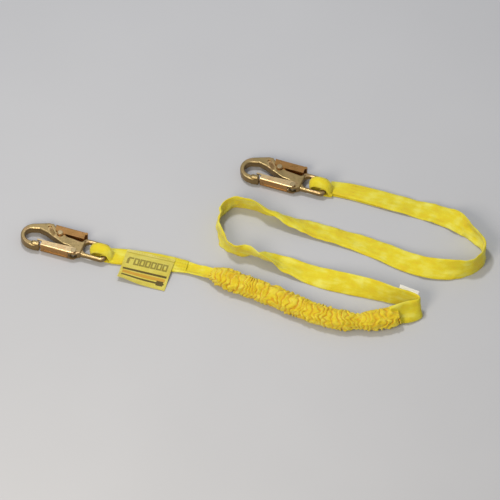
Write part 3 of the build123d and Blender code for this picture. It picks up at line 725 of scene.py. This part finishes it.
def stitches(name, starts):
    """Short raised stitches: each start is a place and a heading, in metres and radians."""
    points, faces, uvs = [], [], []
    sides, rings = STITCH_SIDES, STITCH_RINGS
    for (x, y, z), heading in starts:
        base = len(points)
        c, w = math.cos(heading), math.sin(heading)
        for r in range(rings):
            t = -1 + 2 * r / (rings - 1)
            swell = STITCH_R * math.sqrt(max(STITCH_END, 1 - t ** 4))
            along = t * STITCH_HALF_LENGTH
            for k in range(sides):
                a = 2 * math.pi * k / sides
                across, lift = swell * math.cos(a), swell * math.sin(a) * STITCH_FLATNESS
                points.append((x + along * c - across * w, y + along * w + across * c, z + lift))
                uvs.append((along, a * STITCH_R))
        for r in range(rings - 1):
            first, second = base + r * sides, base + (r + 1) * sides
            for k in range(sides):
                d = (k + 1) % sides
                faces.append((first + k, second + k, second + d, first + d))
        faces.append(tuple(base + k for k in range(sides)))
        faces.append(tuple(base + (rings - 1) * sides + k for k in range(sides - 1, -1, -1)))
    return add_mesh(name, points, faces, thread, at_corners(uvs, faces))


def sewn_rows(start, heading, count):
    """Rows of stitches along a strap, side by side."""
    places = []
    c, w = math.cos(heading), math.sin(heading)
    for offset in SEW_ROWS:
        for i in range(count):
            t = i * STITCH_PITCH
            x, y = start[0] + t * c - offset * w, start[1] + t * w + offset * c
            places.append(((x * MM, y * MM, STITCH_TOP * MM), heading))
    return places


def label_row():
    """The row of stitches along the label's hem."""
    x, y, rise, count = LABEL_ROW
    return [(label_point(x + i * STITCH_PITCH, y, rise), LABEL_YAW) for i in range(count)]


def tag():
    """A folded white tag sewn in at the turnback."""
    low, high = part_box("inspection_tag")
    centre = (low + high) / 2 + TAG_SHIFT
    along = Vector((math.cos(TAG_YAW), math.sin(TAG_YAW), 0.0))
    size, rate = TAG_WAVE
    route = [tuple(centre + along * (t * TAG_HALF_LENGTH) + Vector((0, 0, size * math.sin(rate * t))))
             for t in TAG_STATIONS]
    piece, _ = strap("tag_cloth", route, TAG_LOOKS, white_cloth, 71.1)
    return piece


label = label_sheet("label_cloth", *FLAP, label_printed)
hem = label_sheet("label_hem_cloth", *HEM, label_plain)
stand_in(label, "label_flap", "label", "label_flap")
stand_in(hem, ROOT, "label", "label_hem")
for name, places, node in (("label_thread", label_row(), "label_stitching"),
                           ("near_end_thread", sewn_rows(*SEWN_END_A), "tail_stitching_a"),
                           ("far_end_thread", sewn_rows(*SEWN_END_B), "tail_stitching_b")):
    stand_in(stitches(name, places), ROOT, "thread", node)
stand_in(tag(), ROOT, "tag", "inspection_tag")


# ================================================================ absorber
def pleat(place, roundness):
    """The height of a pleat, 0 to 1, where the place counts the pleats."""
    return math.sin(math.pi * (place % 1.0)) ** roundness


def squared(share):
    """A sine or cosine that makes a rounded box of a circle."""
    return math.copysign(abs(share) ** SLEEVE_SQUARENESS, share)


def absorber_sleeve():
    """A wide tube of webbing gathered over the folded core: irregular pleats, drawn in at both ends."""
    at, (line,) = evenly(nurbs(ABSORBER_ROUTE), SLEEVE_STEP)
    along, left, up = frames_along(line)
    total = at[-1]
    per_pleat, sway, start = SECOND_PLEATS
    rings = np.zeros((len(at), SLEEVE_ROUND, 3))
    uvs = np.zeros((len(at), SLEEVE_ROUND + 1, 2))
    painted_valley_shade = np.zeros((len(at), SLEEVE_ROUND))
    for r, s in enumerate(at):
        t = s / total
        drawn = 1 - pinch(s, *NEAR_PINCH) - pinch(total - s, *FAR_PINCH) - pinch(t - WAIST, *WAIST_PINCH)
        calm = 1 - pinch(t - WAIST, *WAIST_CALM)
        count = PLEATS * (t + sum(size * math.sin(rate * t + begin) for size, rate, begin in PLEAT_SWAYS))
        lean = TIP_TURN[0] * wave(s * TIP_TURN[1], TIP_TURN[2], 0.0)
        for c in range(SLEEVE_ROUND):
            angle = 2 * math.pi * c / SLEEVE_ROUND
            ca, sa = math.cos(angle), math.sin(angle)
            drift = round_wave(s, ca, sa, SLOW_DRIFT) + round_wave(s, ca, sa, FAST_DRIFT, lift=5)
            ridge = pleat(count + drift + PLEAT_SHEAR * ca, PLEAT_ROUNDNESS)
            second = pleat(per_pleat * count + sway * drift + start, SECOND_ROUNDNESS)
            deep = PLEAT_DEPTH * calm * (DEPTH_MIDDLE + round_wave(s, ca, sa, DEPTH_CHANGE, start=9))
            out = (deep * (ridge - PLEAT_LEVEL) + SECOND_SHARE * deep * (second - 0.5)
                   + round_wave(s, ca, sa, FINE_BUMPS))
            x = squared(ca) * (SLEEVE_HALF_WIDTH * drawn + out)
            z = squared(sa) * (SLEEVE_HALF_HEIGHT * drawn + out * PLEAT_HEIGHT_SHARE)
            tip = TIP_SWAY * (ridge - 0.5) * math.sin(angle * 2 + lean)
            rings[r, c] = line[r] + left[r] * x + up[r] * z + along[r] * tip
            # painted shade share: low in the pleats' valleys, near 1 on their ridges
            painted_valley_shade[r, c] = min(1.0, VALLEY_SHADE_SHARES[0] * ridge + VALLEY_SHADE_SHARES[1] * second + VALLEY_SHADE_SHARES[2])
            uvs[r, c] = (s * CLOTH_PER_LENGTH, angle * SLEEVE_HALF_WIDTH)
        uvs[r, SLEEVE_ROUND] = (s * CLOTH_PER_LENGTH, 2 * math.pi * SLEEVE_HALF_WIDTH)
    rings[..., 2] = np.maximum(rings[..., 2], FLOOR_SKIN)
    piece = tube_mesh("absorber_sleeve", rings, uvs, sleeve_cloth)
    # the painted valley shade goes to the cloth's material as a point attribute
    layer = piece.data.attributes.new("painted_valley_shade", "FLOAT", "POINT")
    layer.data.foreach_set("value", painted_valley_shade.astype(np.float32).ravel())
    return piece, line


sleeve, sleeve_line = absorber_sleeve()
stand_in(sleeve, ROOT, "jacket", "absorber_jacket", "absorber_core", "absorber_stitching")

# ================================================================ CAD nodes that stay
SMALL_PARTS = {
    "gate": zinc_gate, "gate_rivet": zinc_rivet, "gate_spring": spring_wire,
    "lock_lever": zinc_lever, "lever_rivet": zinc_rivet, "lever_spring": spring_wire,
}
for letter, tip in (("a", HOOK_A_TIP), ("b", HOOK_B_TIP)):
    # the last colour is painted shade for the forging's sides; the tip places the painted pocket shade and its
    # painted rim highlight
    forging = zinc(f"zinc_forging_{letter}", linear(170, 148, 102), linear(174, 142, 106), linear(130, 104, 64),
                   tip=tip)
    for part, material in {**SMALL_PARTS, "body": forging}.items():
        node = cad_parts[f"hook_{letter}_{part}"]
        for slot in node.material_slots:
            slot.material = material


# ================================================================ floor, lights and camera
def floor():
    half = FLOOR_HALF
    n = Nodes("floor_paper")
    place = n.coordinate("Object")
    paper = n.ramp(n.noise(place, scale=3.0), [(0.3, FLOOR_TINTS[0]), (0.7, FLOOR_TINTS[1])])
    n.set(Base_Color=paper, Roughness=0.9)
    n.set(Normal=n.bump(n.noise(place, scale=400.0), distance=0.0002, strength=0.1))
    corners = [(-half, -half, 0), (half, -half, 0), (half, half, 0), (-half, half, 0)]
    add_mesh("floor", corners, [(0, 1, 2, 3)], n.material)


def area_light(name, place, size, power, colour):
    light = bpy.data.lights.new(name, "AREA")
    light.shape = "SQUARE"
    light.size = size
    light.energy = power
    light.color = colour
    lamp = bpy.data.objects.new(name, light)
    lamp.location = place
    lamp.rotation_euler = (-Vector(place)).to_track_quat("-Z", "Y").to_euler()
    bpy.context.scene.collection.objects.link(lamp)


def studio():
    world = bpy.data.worlds.new("studio")
    world.use_nodes = True
    background = world.node_tree.nodes["Background"]
    background.inputs[0].default_value = (*WHITE, 1.0)
    background.inputs[1].default_value = WORLD_STRENGTH
    bpy.context.scene.world = world
    for light in LIGHTS:
        area_light(*light)


def camera():
    data = bpy.data.cameras.new("camera")
    data.type = "ORTHO"
    data.ortho_scale = VIEW_WIDTH
    eye = bpy.data.objects.new("camera", data)
    eye.location = AIM + Vector((0.0, -math.cos(ELEVATION), math.sin(ELEVATION))) * CAMERA_AWAY
    eye.rotation_euler = (math.pi / 2 - ELEVATION, 0.0, 0.0)
    bpy.context.scene.collection.objects.link(eye)
    bpy.context.scene.camera = eye


floor()
studio()
camera()
bpy.context.scene.view_settings.view_transform = "Standard"
